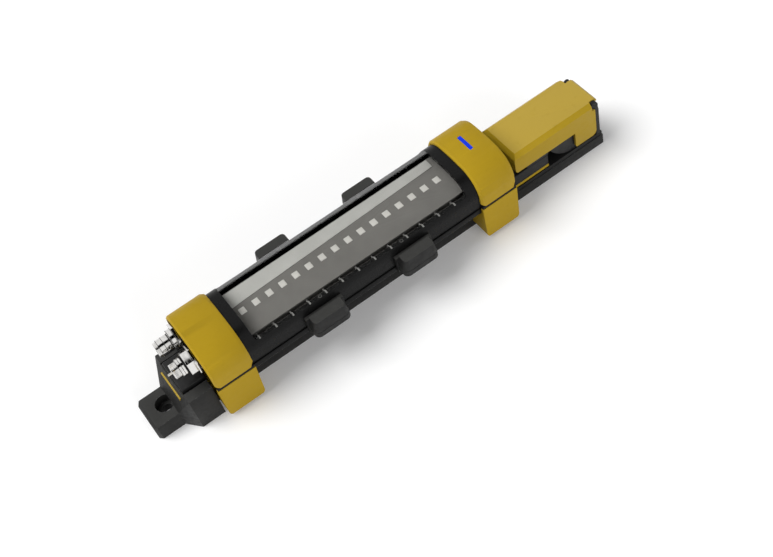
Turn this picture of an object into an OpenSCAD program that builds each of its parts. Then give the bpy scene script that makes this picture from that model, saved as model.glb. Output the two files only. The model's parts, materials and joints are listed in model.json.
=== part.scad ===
// Laser receiver for an excavator arm, lying on its back on its quick-release mounting rail.
// X runs along the length, Y across and Z up through the window. All sizes are in millimetres.
// The origin is the axis of the mounting bore, on the flat back of the rail.

/* [Mounting rail] */
// Width of the eye block and of the narrow part of the rail
rail_w = 30; // [26:0.5:34]
// Thickness of the rail bar
rail_t = 10; // [8:0.5:12]
// Width of the rail under the lever
rail_end_w = 39.4; // [37:0.2:42]
// Length of the slanted step from the narrow to the wide part of the rail
rail_step = 4.7; // [3:0.1:6]
// Thickness of the pad plate that the latch tongue rests on
pad_t = 3.8; // [3:0.1:5]
// Distance that the pad plate is set in from the edge of the rail
pad_inset = 0.6; // [0.3:0.1:1.5]

/* [Eye block and cradle] */
// Thickness of the eye block
eye_t = 16; // [14:0.5:20]
// Distance from the mounting bore to the end face of the eye block
eye_end = 17; // [14:0.5:20]
// Chamfer on the end of the eye block
eye_chamfer = 2.5; // [1:0.1:4]
// Radius of the mounting bore
bore_r = 4.5; // [3.3:0.1:5.5]
// Radius of the counterbore for the bolt head
counterbore_r = 7.5; // [7:0.1:9]
// Depth of the counterbore
counterbore_depth = 8.5; // [6:0.5:10]
// Distance from the mounting bore to the foot of the slanted wedge
wedge_start = 4.4; // [3:0.1:6]
// Length of the slanted wedge between the eye block and the cradle
wedge_len = 9.4; // [8:0.1:12]
// Width of the cradle block
cradle_w = 52.8; // [48:0.2:58]
// Height of the cradle block
cradle_h = 35.7; // [34:0.1:38]
// Length of the straight part of the cradle block
cradle_len = 19.8; // [18:0.1:21]
// Width of the pocket between the two cheeks
pocket_w = 35.6; // [34:0.2:38]
// Distance that the lip before the pocket lies below the cheeks
lip_drop = 1.6; // [1.4:0.1:3]

/* [Receiver housing] */
// Distance from the mounting bore to the outer face of the first collar
receiver_start = 34.9; // [34.5:0.1:38]
// Length of the receiver over both collars
receiver_len = 273; // [268:1:276]
// Half of the outer width of the housing
housing_half_w = 31.6; // [30:0.1:33]
// Height of the top of the housing
housing_top = 69; // [68.4:0.2:71]
// Radius of the rounded shoulders of the housing
shoulder_r = 18.5; // [15:0.5:21]
// Radius of the slight crown across the top of the housing
crown_r = 140; // [90:5:240]
// Wall of the housing shells
housing_wall = 3; // [2:0.1:4]
// Height of the split between the front and the back shells
split_z = 38.8; // [38:0.1:42]
// Height of the groove between the two shells
groove_h = 3.4; // [2:0.1:5]
// Depth of the groove between the two shells
groove_depth = 1.2; // [0.5:0.1:2]
// Height of the lower edge of the side walls
side_foot_z = 32.2; // [30:0.1:34]
// Height of the flat underside of the housing
keel_z = 24; // [22:0.5:27]
// Half of the width of the flat underside
keel_half_w = 21; // [18:0.5:24]
// Thickness of the end caps
end_cap_t = 5; // [4:0.1:7]
// Distance that the end caps are set in from the outer faces of the collars
end_cap_inset = 1.6; // [1:0.1:3]

/* [Window] */
// Distance from a collar to the end of the window opening
window_margin = 8.9; // [7:0.1:14]
// Height of the lower edge of the window on each side
window_low_z = 56.7; // [55:0.1:60]
// Corner radius of the window opening
window_corner_r = 4; // [2:0.5:6]
// Thickness of the window pane
window_t = 2.4; // [1.6:0.1:2.8]
// Clearance round the pane
window_gap = 0.15; // [0.1:0.05:0.3]
// Number of ribs on each skirt of the sensor deck
rib_count = 13; // [7:1:13]
// Distance of the first rib from the end of the window
rib_first = 4; // [2:0.5:8]
// Distance of the last rib from the other end of the window
rib_last = 10.8; // [4:0.1:14]
// Width of a rib
rib_w = 1.2; // [0.8:0.1:2]
// Distance that a rib stands out from the lower part of the skirt
rib_d = 1; // [0.6:0.1:2]
// Height of a rib
rib_h = 7.2; // [5:0.1:9]

/* [Sensor deck] */
// Height of the top face of the sensor deck
deck_z = 56.2; // [54:0.1:59]
// Half of the width of the sensor deck
deck_half_w = 22.4; // [20:0.1:24]
// Thickness of the sensor deck plate
deck_t = 2; // [1.2:0.1:3]
// Depth of the side skirts of the sensor deck
skirt_depth = 12; // [8:0.5:14]
// Distance that the upper part of the skirts is set in from the edge of the deck
skirt_inset = 0.7; // [0.3:0.1:1]
// Distance that the lower part of the skirts stands out from the edge of the deck
skirt_proud = 0.5; // [0.2:0.1:1]
// Height of the upper part of the skirts below the deck plate
skirt_step = 3.2; // [2:0.1:4]
// Number of detector cells
cell_count = 16; // [8:1:20]
// Distance from the end of the window to the middle of the first detector cell
cell_margin = 6.5; // [5:0.1:12]
// Length and width of a detector cell
cell_size = [5, 5.8]; // [3:0.1:7]
// Height that a detector cell stands proud of the deck
cell_proud = 0.5; // [0.3:0.1:1]
// Radius of the sight holes in the skirts of the deck
sight_hole_r = 1; // [0.6:0.1:1.6]
// Distance of the sight holes from the middle of the receiver
sight_hole_x = 36.6; // [20:0.2:60]
// Depth of the sight holes below the top face of the deck
sight_hole_depth = 8; // [6.5:0.1:8.5]
// Distance that the two sight holes are shifted towards the connectors
sight_hole_shift = 1.6; // [0:0.1:3]
// Thickness of the circuit boards
board_t = 1.6; // [0.8:0.1:2]
// Height of the middle of the main circuit board
main_board_z = 32; // [30.5:0.5:34]
// Distance that the main circuit board is set in from the outer face of the housing
board_inset = 10.6; // [9:0.1:13]
// Distance of the board posts from the middle plane
board_post_y = 15.5; // [12:0.1:16]
// Radius of the board posts
post_r = 3; // [2.4:0.1:3.4]
// Radius of the necks of the posts in the main circuit board
post_neck_r = 1.6; // [1.2:0.1:2]
// Distance of the diffuser strip from the middle plane at its wide end
strip_wide_y = 7; // [6:0.5:9]
// Distance of the diffuser strip from the middle plane at its narrow end
strip_narrow_y = 13; // [10:0.5:16]
// Thickness of the diffuser strip
strip_t = 0.6; // [0.4:0.1:1]

/* [Collars] */
// Length of a collar along the housing
collar_len = 32.6; // [28:0.1:36]
// Thickness of a collar over the housing
collar_wall = 2.8; // [2.4:0.1:4]
// Bevel along the left end edge of a collar
collar_bevel = 1.4; // [0.8:0.1:2.6]
// Bevel along the right end edge of a collar
collar_bevel_right = 2.8; // [0.8:0.1:2.8]
// Chamfer of the lower corners of the upper collar shell
collar_corner = 3.6; // [2:0.2:5]
// Height of the underside of the collars
collar_foot_z = 3; // [2:0.1:6]
// Slant of the right face of the lower collar shell, from top to bottom
collar_slant = 1.4; // [0:0.1:4]
// Rounding of the lower corners of the lower collar shell
collar_foot_r = 4.5; // [2:0.5:6]
// Rounding along the lower side edges of the lower collar shell
collar_edge_r = 1.2; // [0.6:0.1:3]
// Thickness of the gasket between the collar shells
gasket_t = 2.8; // [1.4:0.1:3]
// Distance that the gasket is set in from the faces of the collar
gasket_inset = 0.3; // [0.2:0.1:1.5]
// Clearance between the lower collar shells and the rail
saddle_gap = 0.3; // [0.2:0.05:0.6]
// Length of the status light across the collar
light_len = 17; // [10:0.2:20]
// Width of the status light
light_w = 3.2; // [2:0.1:5]
// Radius of the corners of the status light
light_corner = 0.6; // [0.3:0.1:0.9]

/* [Side bumpers] */
// Distance of each pair of bumpers from the middle of the receiver
bumper_offset = 40.2; // [30:0.2:48]
// Length of a bumper at its foot
bumper_len = 31; // [26:0.5:34]
// Distance of the outer face of the bumpers from the middle plane
bumper_reach = 44; // [40:0.5:46]
// Height of the flat top of a bumper
bumper_top_z = 51.8; // [50:0.2:54]
// Height of the underside of a bumper
bumper_low_z = 34.6; // [34:0.2:37]
// Thickness of the ledge along the foot of a bumper
ledge_t = 5; // [3:0.1:6]
// Distance that the end faces of a bumper lean in from foot to top
bumper_slope = 2; // [1:0.1:3]
// Radius of the outer corners of a bumper's foot
bumper_corner = 4.5; // [2:0.5:6]
// Radius of the outer corners of a bumper's flat top
bumper_top_r = 3; // [1:0.5:4]
// Distance that the bumper's flange stands out from the side wall
flange_t = 3.2; // [2:0.1:4]

/* [Foot and latch tongues] */
// Width of the foot block that lies in the cradle pocket
foot_w = 31.4; // [29:0.2:33]
// Height of the top of the foot block
foot_top_z = 38; // [37:0.1:39]
// Height of the top of the nose plate
nose_z = 30; // [29:0.1:31]
// Thickness of the nose plate and of the latch plate
plate_t = 2.6; // [2:0.1:3]
// Distance that the nose plate stands out of the slanted wall
nose_proud = 2; // [1:0.1:3]
// Width of the latch tongue
tongue_w = 36.4; // [33:0.2:37]
// Length of the latch tongue beyond the second collar
tongue_len = 42.4; // [40:0.2:44]
// Height of the black block on the latch tongue
tongue_h = 10.6; // [9:0.1:11]

/* [Connectors] */
// Distance of each connector from the middle plane
connector_y = 12.2; // [12:0.1:14]
// Height of the connector axes
connector_z = 58; // [55:0.1:58]
// Width across the flats of the hexagonal flange
hex_af = 20.6; // [18:0.2:20.8]
// Radius of the round base of each connector under the arch of the collar
flange_base_r = 9.8; // [9:0.1:10]
// Distance of the hexagonal flange from the end cap
flange_stand = 2.2; // [2:0.1:3]
// Radius of the threaded barrel
thread_r = 6; // [5:0.5:6]
// Length of the connectors from the end cap to their tips
connector_len = 20.6; // [20:0.1:24]
// Length of the plain thread at the tip of the far connector
far_tip_len = 2.4; // [2:0.1:4]
// Radius of the barrel of the far connector
far_barrel_r = 6.8; // [6.6:0.1:7.4]
// Thickness of the flange of the far connector
far_flange_t = 4.4; // [3.5:0.1:5]
// Radius of the round nut on the far connector
far_nut_r = 8.7; // [8:0.1:9.5]
// Length of the round nut on the far connector
far_nut_len = 3.8; // [3:0.1:5]
// Length of the plain thread at the tip of the near connector
near_tip_len = 5; // [4:0.1:6]
// Radius of the barrel of the near connector
near_barrel_r = 7.2; // [6.8:0.1:7.6]
// Thickness of the flange of the near connector
near_flange_t = 4; // [3.5:0.1:5]
// Radius over the corners of the hexagonal nut on the near connector
near_nut_r = 10; // [9:0.1:10.5]
// Length of the hexagonal nut on the near connector
near_nut_len = 5.8; // [4:0.1:6]
// Length of the guide pin that stands out of the near connector
guide_pin_len = 3.6; // [2:0.1:4]

/* [Quick-release lever] */
// Height of the hinge axis
hinge_z = 47.8; // [46:0.1:50]
// Distance from the end of the latch tongue to the hinge axis
hinge_gap = 47.5; // [47:0.1:49]
// Distance from the hinge axis back to the end of the rail
hinge_back = 6.2; // [5:0.1:8]
// Outer radius of the hinge knuckles
knuckle_r = 3.1; // [2.9:0.1:3.4]
// Radius of the hinge pin
pin_r = 1.4; // [1.2:0.05:1.6]
// Width of the lever
lever_w = 41; // [39:0.2:43]
// Reach of the lever from the hinge axis to its free end
lever_reach = 80; // [76:0.5:80]
// Height of the flat top of the lever
lever_top_z = 51.6; // [51.4:0.1:53]
// Bevel along the top edges of the lever
lever_bevel = 3.4; // [2:0.1:4]
// Thickness of the lever's walls
lever_wall = 2.2; // [1.8:0.1:3]
// Height of the lower edge of the lever's skirts
skirt_z = 33; // [31:0.5:36]
// Height of the lower edge of the lever's foot
lever_foot_z = 17; // [16:0.1:20]
// Length of the lever's foot along the rail
lever_foot_len = 21; // [16:0.5:24]
// Radius of the outer lower corner of the lever's foot
lever_foot_r = 4.6; // [2:0.1:6]
// Bevel along the top edge of the lever's hinged end
nose_bevel = 2.2; // [1.2:0.1:2.4]
// Distance of the near end of the lever's knuckle from the middle plane
knuckle_near = 16; // [14:0.1:16.4]
// Distance of the far end of the lever's knuckle from the middle plane
knuckle_far = 12; // [10:0.1:15]
// Width of the outer knuckles of the hinge plate
outer_knuckle_w = 3; // [2:0.1:3.2]
// Radius of the rounded nose of the clamp block
clamp_nose_r = 29.5; // [26:0.5:31]

/* [Hidden] */
$fn = 64;
eps = 0.01;
far = 500;

// Places along the length
receiver_end = receiver_start + receiver_len;
receiver_mid = receiver_start + receiver_len / 2;
window_len = receiver_len - 2 * (collar_len + window_margin);
cell_pitch = (window_len - 2 * cell_margin) / (cell_count - 1);
rib_pitch = (window_len - rib_first - rib_last) / (rib_count - 1);
left_collar_x = receiver_start;
right_collar_x = receiver_end - collar_len;
cradle_front = wedge_start + wedge_len;
cradle_end = cradle_front + cradle_len;
housing_start = receiver_start + end_cap_inset;
housing_end = receiver_end - end_cap_inset;
window_start = receiver_mid - window_len / 2;
tongue_end = receiver_end + tongue_len;
hinge_x = tongue_end + hinge_gap;
rail_reach = hinge_x + hinge_back;
lever_free_x = hinge_x - lever_reach;
lever_foot_end = hinge_x - 0.4;
wide_start = receiver_end + 1.8;
deck_half_len = window_len / 2 + 4;

// Heights
upper_edge_z = split_z + groove_h / 2;
lower_edge_z = split_z - groove_h / 2;
pad_top = rail_t + pad_t;
tongue_plate_z = pad_top + 0.1;
nose_low_z = nose_z - plate_t;
fit = 0.3;

// Half of a tunnel profile's straight side height, from the crown and shoulder radii
function shoulder_z(a, top, r, crown) = top - crown + sqrt(pow(crown - r, 2) - pow(a - r, 2));

// A tunnel profile in the YZ plane: straight sides, round shoulders and a slightly crowned top
module tunnel(a, low, top, r, crown) {
    sy = a - r;
    sz = shoulder_z(a, top, r, crown);
    intersection() {
        translate([-a, low]) square([2 * a, top - low]);
        union() {
            translate([-a, low]) square([2 * a, sz - low]);
            for (side = [-1, 1]) translate([side * sy, sz]) circle(r = r, $fn = 96);
            intersection() {
                translate([0, top - crown]) circle(r = crown, $fn = 360);
                crown_wedge(sy, sz, top - crown);
            }
        }
    }
}

// The wedge between the two radii where the crown meets the shoulders
module crown_wedge(sy, sz, cz) {
    k = 2 * (sz - cz) / sy;
    polygon([[0, cz], [sy * 2, cz + sy * k], [-sy * 2, cz + sy * k]]);
}

// The sector of a shoulder between the side wall and the crown
module shoulder_sector(side, sy, sz, cz) {
    reach = 3 * shoulder_r;
    k = (sz - cz) / sy;
    polygon([[side * sy, sz], [side * (sy + reach), sz], [side * (sy + reach), sz + reach * k]]);
}

// The housing's tunnel as a solid whose profile grows from g0 at x0 to g1 at x1
module tunnel_taper(x0, x1, g0, g1, low) {
    a = housing_half_w;
    r = shoulder_r;
    sy = a - r;
    sz = shoulder_z(a, housing_top, r, crown_r);
    cz = housing_top - crown_r;
    intersection() {
        box_at(x0, x1, -far, far, low, far);
        union() {
            translate([0, 0, low]) linear_extrude(sz - low) polygon([
                [x0, -a - g0], [x1, -a - g1], [x1, a + g1], [x0, a + g0]]);
            for (side = [-1, 1]) intersection() {
                translate([x0, side * sy, sz]) rotate([0, 90, 0])
                    cylinder(r1 = r + g0, r2 = r + g1, h = x1 - x0, $fn = 96);
                along_x(x0, x1) shoulder_sector(side, sy, sz, cz);
            }
            intersection() {
                translate([x0, 0, cz]) rotate([0, 90, 0])
                    cylinder(r1 = crown_r + g0, r2 = crown_r + g1, h = x1 - x0, $fn = 360);
                along_x(x0, x1) crown_wedge(sy, sz, cz);
            }
        }
    }
}

// Sweeps a YZ profile along X from x0 to x1
module along_x(x0, x1) {
    translate([x0, 0, 0]) rotate([90, 0, 90]) linear_extrude(x1 - x0) children();
}

// Sweeps an XZ profile across Y, centred on the middle plane
module across_y(width) {
    translate([0, width / 2, 0]) rotate([90, 0, 0]) linear_extrude(width) children();
}

module box_at(x0, x1, y0, y1, z0, z1) {
    translate([x0, y0, z0]) cube([x1 - x0, y1 - y0, z1 - z0]);
}

module centred_box(x0, x1, width, z0, z1) {
    box_at(x0, x1, -width / 2, width / 2, z0, z1);
}

// Bore along Z at a place on the rail
module bore_z(x, y, r, z0, z1) {
    translate([x, y, z0]) cylinder(r = r, h = z1 - z0);
}

// The housing's outer and inner tunnel profiles, grown or shrunk by an amount
module housing_profile(grow, low) {
    tunnel(housing_half_w + grow, low, housing_top + grow, shoulder_r + grow, crown_r + grow);
}

screw_r = 2;
screw_clear = 0.2;
screw_head_r = 3.8;
screw_head_h = 2.4;
rail_screw_x = [cradle_front + 5, cradle_end - 4];
pad_screw_x = [wide_start + 12, rail_reach - 20];

// End block: the eye for the mounting bolt, the slanted wedge and the cradle with its pocket, in one casting
module end_block() {
    color([0.2, 0.2, 0.21]) difference() {
        union() {
            linear_extrude(eye_t) polygon([
                [-eye_end + eye_chamfer, -rail_w / 2], [-eye_end, -rail_w / 2 + eye_chamfer],
                [-eye_end, rail_w / 2 - eye_chamfer], [-eye_end + eye_chamfer, rail_w / 2],
                [cradle_front, rail_w / 2], [cradle_front, -rail_w / 2]]);
            intersection() {
                linear_extrude(cradle_h) polygon([
                    [wedge_start, -rail_w / 2], [cradle_front, -cradle_w / 2], [cradle_end, -cradle_w / 2],
                    [cradle_end, cradle_w / 2], [cradle_front, cradle_w / 2], [wedge_start, rail_w / 2]]);
                across_y(cradle_w) polygon([
                    [wedge_start, 0], [wedge_start, eye_t], [cradle_front, cradle_h],
                    [cradle_end, cradle_h], [cradle_end, 0]]);
            }
        }
        across_y(cradle_w) polygon([
            [-eye_end - eps, eye_t - eye_chamfer], [-eye_end + eye_chamfer, eye_t + eps],
            [-eye_end - eps, eye_t + eps]]);
        bore_z(0, 0, bore_r, -1, eye_t + 1);
        bore_z(0, 0, counterbore_r, eye_t - counterbore_depth, eye_t + 1);
        centred_box(cradle_front + fit, cradle_end + 1, pocket_w, nose_low_z - fit, cradle_h + 1);
        centred_box(wedge_start, cradle_front + 1, pocket_w, cradle_h - lip_drop, cradle_h + 1);
        centred_box(wedge_start, cradle_end, rail_w + 2 * fit, nose_low_z - fit, nose_z + fit);
        centred_box(cradle_front - 1, cradle_end + 1, rail_w, -1, rail_t);
        for (x = rail_screw_x) bore_z(x, 0, screw_r, rail_t - 1, rail_t + 8);
    }
}

// Rail bar: narrow under the receiver, wide under the lever
module rail_bar() {
    color([0.2, 0.2, 0.21]) difference() {
        linear_extrude(rail_t) polygon([
            [cradle_front - 1 + 0.02, -rail_w / 2], [wide_start, -rail_w / 2], [wide_start + rail_step, -rail_end_w / 2],
            [rail_reach, -rail_end_w / 2], [rail_reach, rail_end_w / 2], [wide_start + rail_step, rail_end_w / 2],
            [wide_start, rail_w / 2], [cradle_front - 1 + 0.02, rail_w / 2]]);
        for (x = concat(rail_screw_x, pad_screw_x)) {
            bore_z(x, 0, screw_r + screw_clear, -1, rail_t + 1);
            bore_z(x, 0, screw_head_r + screw_clear, -1, screw_head_h + 0.4);
        }
    }
}

// Pad plate on the wide end of the rail
module pad_plate() {
    pad_w = rail_end_w - 2 * pad_inset;
    color([0.13, 0.13, 0.14]) difference() {
        centred_box(wide_start + rail_step + 1, rail_reach - pad_inset, pad_w, rail_t, pad_top);
        for (x = pad_screw_x) bore_z(x, 0, screw_r, rail_t - 1, pad_top + 1);
    }
}

// Countersunk place of each screw below the rail
module rail_screws() {
    color([0.55, 0.55, 0.57]) {
        for (x = rail_screw_x) rail_screw(x, rail_t + 7);
        for (x = pad_screw_x) rail_screw(x, pad_top - 0.4);
    }
}

module rail_screw(x, top) {
    difference() {
        union() {
            bore_z(x, 0, screw_r - 0.02, screw_head_h, top);
            bore_z(x, 0, screw_head_r, 0.4, 0.4 + screw_head_h);
        }
        translate([x, 0, 0]) cylinder(r = 2.3, h = 1.8, $fn = 6);
    }
}

plate_x0 = hinge_x + 0.4;
plate_x1 = plate_x0 + 3.6;

// Upright hinge plate with two outer knuckles
module hinge_plate() {
    plate_w = rail_end_w - 2 * pad_inset;
    color([0.16, 0.16, 0.17]) difference() {
        union() {
            centred_box(plate_x0, plate_x1, plate_w, pad_top, hinge_z - knuckle_swing);
            for (side = [-1, 1]) {
                y0 = side > 0 ? knuckle_far + fit : -knuckle_near - fit - outer_knuckle_w;
                y1 = y0 + outer_knuckle_w;
                box_at(plate_x0, plate_x1 - 0.6, y0, y1, pad_top, hinge_z);
                translate([hinge_x, y1, hinge_z]) rotate([90, 0, 0]) cylinder(r = knuckle_r, h = y1 - y0);
            }
        }
        translate([hinge_x, far / 2, hinge_z]) rotate([90, 0, 0]) cylinder(r = pin_r, h = far);
    }
}

lever_nose = knuckle_r + 1.5;
knuckle_swing = norm([lever_nose, lever_nose - 2]) + 0.6;

// Front shell of the housing, black, with the window opening cut through its top
module front_housing() {
    color([0.12, 0.12, 0.13]) difference() {
        along_x(housing_start + end_cap_t, housing_end - end_cap_t) housing_profile(0, upper_edge_z);
        along_x(housing_start, housing_end) housing_profile(-housing_wall, upper_edge_z - 1);
        window_opening(0);
        for (side = [-1, 1], x = bumper_x) bumper_peg(x, side, 0.02);
    }
}

// The window opening, seen from above as a rectangle with rounded lower corners
module window_opening(shrink) {
    x0 = window_start + shrink;
    x1 = window_start + window_len - shrink;
    r = window_corner_r;
    z0 = window_low_z + shrink;
    for (side = [-1, 1]) {
        y0 = side > 0 ? 0 : -far;
        translate([0, y0 + far, 0]) rotate([90, 0, 0]) linear_extrude(far) union() {
            translate([x0, z0 + r]) square([x1 - x0, far]);
            translate([x0 + r, z0]) square([x1 - x0 - 2 * r, r + 1]);
            translate([x0 + r, z0 + r]) circle(r = r);
            translate([x1 - r, z0 + r]) circle(r = r);
        }
    }
}

// Clear window pane that fills the opening, flush with the housing
module window() {
    color([0.75, 0.78, 0.78, 0.45]) intersection() {
        difference() {
            along_x(window_start - 1, window_start + window_len + 1) housing_profile(0, window_low_z - 5);
            along_x(window_start - 2, window_start + window_len + 2) housing_profile(-window_t, window_low_z - 6);
        }
        window_opening(window_gap);
    }
}

// Back shell of the housing: upright edges, slanted flanks and a flat keel
module back_profile(t) {
    a = housing_half_w - t;
    k = keel_half_w - t * 0.6;
    polygon([[-a, lower_edge_z], [-a, side_foot_z + t * 0.4], [-k, keel_z + t], [k, keel_z + t],
        [a, side_foot_z + t * 0.4], [a, lower_edge_z]]);
}

module back_housing() {
    x0 = housing_start + end_cap_t;
    x1 = housing_end - end_cap_t;
    color([0.13, 0.13, 0.14]) difference() {
        along_x(x0, x1) back_profile(0);
        along_x(x0 - 1, x1 + 1) back_profile(housing_wall);
        centred_box(x0 - 1, x1 + 1, 2 * (housing_half_w - housing_wall), lower_edge_z - 0.5, lower_edge_z + 1);
    }
}

// Gasket in the groove between the two shells
module housing_gasket() {
    outer = housing_half_w - groove_depth;
    inner = housing_half_w - housing_wall;
    color([0.05, 0.05, 0.05]) difference() {
        centred_box(housing_start + end_cap_t, housing_end - end_cap_t, 2 * outer, lower_edge_z, upper_edge_z);
        centred_box(housing_start, housing_end, 2 * inner, lower_edge_z - 1, upper_edge_z + 1);
        for (side = [-1, 1], x = bumper_x) bumper_peg(x, side, 0.02);
    }
}

skirt_upper_y = deck_half_w - skirt_inset;
skirt_lower_y = deck_half_w + skirt_proud;
step_z = deck_z - deck_t - skirt_step;

// Grey sensor deck with two stepped side skirts
module sensor_deck() {
    x0 = receiver_mid - deck_half_len;
    x1 = receiver_mid + deck_half_len;
    color([0.62, 0.62, 0.61]) difference() {
        union() {
            centred_box(x0, x1, 2 * deck_half_w, deck_z - deck_t, deck_z);
            centred_box(x0, x1, 2 * skirt_upper_y, step_z - eps, deck_z - deck_t + eps);
            centred_box(x0, x1, 2 * skirt_lower_y, deck_z - skirt_depth, step_z);
        }
        centred_box(x0 - 1, x1 + 1, 2 * (deck_half_w - deck_t), deck_z - skirt_depth - 1, deck_z - deck_t);
        for (i = [0 : cell_count - 1]) {
            x = cell_x(i);
            centred_box(x - cell_size[0] / 2, x + cell_size[0] / 2, cell_size[1], deck_z - deck_t - 1, deck_z + 1);
        }
        for (s = [-1, 1])
            translate([receiver_mid - sight_hole_shift + s * sight_hole_x, far / 2, deck_z - sight_hole_depth])
                rotate([90, 0, 0]) cylinder(r = sight_hole_r, h = far);
    }
}

function cell_x(i) = receiver_mid + (i - (cell_count - 1) / 2) * cell_pitch;

// Detector cells standing just proud of the deck
module detector_cells() {
    color([0.88, 0.88, 0.86]) for (i = [0 : cell_count - 1]) {
        x = cell_x(i);
        centred_box(x - cell_size[0] / 2, x + cell_size[0] / 2, cell_size[1],
            deck_z - deck_t - 2, deck_z + cell_proud);
    }
}

// Pale diffuser strip along the far side of the deck, narrowing to one end
module diffuser_strip() {
    x0 = window_start + 1;
    x1 = window_start + window_len - 1;
    color([0.85, 0.85, 0.84]) translate([0, 0, deck_z]) linear_extrude(strip_t) polygon([
        [x0, strip_wide_y], [x1, strip_narrow_y], [x1, deck_half_w - 0.8], [x0, deck_half_w - 0.8]]);
}

// Pale upright ribs on both skirts of the deck
module deck_ribs() {
    top = deck_z - deck_t;
    out = skirt_lower_y + rib_d;
    color([0.8, 0.8, 0.78]) for (side = [-1, 1], i = [0 : rib_count - 1]) {
        x = window_start + rib_first + i * rib_pitch;
        along_x(x - rib_w / 2, x + rib_w / 2) polygon([
            [side * skirt_lower_y, top - rib_h], [side * skirt_lower_y, step_z], [side * skirt_upper_y, step_z],
            [side * skirt_upper_y, top], [side * out, top], [side * out, top - rib_h]]);
    }
}

// Circuit board that carries the detector cells
module detector_board() {
    x0 = receiver_mid - deck_half_len + 2;
    x1 = receiver_mid + deck_half_len - 2;
    top = deck_z - deck_t - 2;
    color([0.1, 0.3, 0.18]) centred_box(x0, x1, 2 * (deck_half_w - deck_t) - 0.6, top - board_t, top);
}

board_half_len = window_len / 2 + 1;
post_reach = board_half_len - 4 * post_r;
board_post_x = [for (k = [-1, -1 / 3, 1 / 3, 1]) receiver_mid + k * post_reach];

// Main circuit board in the back shell
module main_board() {
    color([0.1, 0.3, 0.18]) difference() {
        centred_box(receiver_mid - board_half_len, receiver_mid + board_half_len, 2 * (housing_half_w - board_inset),
            main_board_z - board_t / 2, main_board_z + board_t / 2);
        for (x = board_post_x, side = [-1, 1])
            bore_z(x, side * board_post_y, post_neck_r, main_board_z - board_t, main_board_z + board_t);
    }
}

// Posts that carry the main board and the sensor deck
module board_posts() {
    color([0.72, 0.6, 0.3]) for (x = board_post_x, side = [-1, 1]) {
        y = side * board_post_y;
        bore_z(x, y, post_r, keel_z + housing_wall, main_board_z - board_t / 2);
        bore_z(x, y, post_neck_r - 0.02, main_board_z - board_t / 2 - eps, main_board_z + board_t / 2 + eps);
        bore_z(x, y, post_r, main_board_z + board_t / 2, deck_z - deck_t - 2 - board_t);
    }
}

// End caps close both ends of the housing
module end_cap(x0) {
    color([0.09, 0.09, 0.1]) along_x(x0, x0 + end_cap_t) union() {
        housing_profile(0, lower_edge_z);
        back_profile(0);
    }
}

module end_cap_left() {
    difference() {
        end_cap(housing_start);
        for (side = [-1, 1])
            translate([housing_start - 1, side * connector_y, connector_z]) rotate([0, 90, 0])
                cylinder(r = thread_r + 0.02, h = end_cap_t + 2);
    }
}

module end_cap_right() {
    end_cap(housing_end - end_cap_t);
}

collar_half_w = housing_half_w + collar_wall;
collar_upper_z = split_z + gasket_t / 2;
collar_lower_z = split_z - gasket_t / 2;

// Upper collar shell: an arch over the housing with bevelled ends and bevelled lower corners
module collar_front(x0) {
    x1 = x0 + collar_len;
    b = collar_bevel;
    c = collar_bevel_right;
    color([0.8, 0.7, 0.25]) difference() {
        union() {
            tunnel_taper(x0, x0 + b, collar_wall - b * 0.8, collar_wall, collar_upper_z);
            along_x(x0 + b, x1 - c) housing_profile(collar_wall, collar_upper_z);
            tunnel_taper(x1 - c, x1, collar_wall, collar_wall - c * 0.55, collar_upper_z);
        }
        along_x(x0 - 1, x1 + 1) housing_profile(fit / 2, collar_upper_z - 1);
        for (x = [x0, x1])
            translate([x, 0, collar_upper_z]) rotate([0, 45, 0])
                centred_box(-collar_corner / 1.5, collar_corner / 1.5, 3 * collar_half_w,
                    -collar_corner / 1.5, collar_corner / 1.5);
    }
}

module collar_front_left() {
    collar_front(left_collar_x);
}

module collar_front_right() {
    difference() {
        collar_front(right_collar_x);
        status_light_slot(0.02, housing_top - 2);
    }
}

// Lower collar shell: a saddle that cups the back shell and straddles the rail
module collar_back(x0) {
    r = collar_foot_r;
    e = collar_edge_r;
    x1 = x0 + collar_len;
    low = collar_foot_z;
    color([0.78, 0.68, 0.24]) difference() {
        intersection() {
            across_y(2 * collar_half_w) union() {
                polygon([[x0, collar_lower_z], [x0, low + r], [x0 + r, low], [x1 - collar_slant - r, low],
                    [x1 - collar_slant, low + r], [x1, collar_lower_z]]);
                translate([x0 + r, low + r]) circle(r = r);
                translate([x1 - collar_slant - r, low + r]) circle(r = r);
            }
            along_x(x0 - 1, x1 + 1) union() {
                translate([-collar_half_w, low + e]) square([2 * collar_half_w, collar_lower_z]);
                translate([e - collar_half_w, low]) square([2 * (collar_half_w - e), collar_lower_z]);
                for (side = [-1, 1]) translate([side * (collar_half_w - e), low + e]) circle(r = e);
            }
        }
        along_x(x0 - 1, x1 + 1) back_seat();
        centred_box(x0 - 1, x1 + 1, rail_w + 2 * saddle_gap, low - 1, rail_t + saddle_gap);
        for (side = [-1, 1])
            bore_z(x0 + collar_len / 2, side * collar_screw_y, screw_r + screw_clear, low - 1, far);
        for (side = [-1, 1])
            bore_z(x0 + collar_len / 2, side * collar_screw_y, screw_head_r + screw_clear, low - 1, low + 5);
    }
}

// Seat for the back shell inside the lower collar shells
module back_seat() {
    g = fit / 2;
    a = housing_half_w + g;
    k = keel_half_w + g;
    polygon([[-a, collar_lower_z + 1], [-a, side_foot_z - g], [-k, keel_z - g], [k, keel_z - g],
        [a, side_foot_z - g], [a, collar_lower_z + 1]]);
}

collar_screw_y = 25;

module collar_back_left() {
    collar_back(left_collar_x);
}

module collar_back_right() {
    collar_back(right_collar_x);
}

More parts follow.
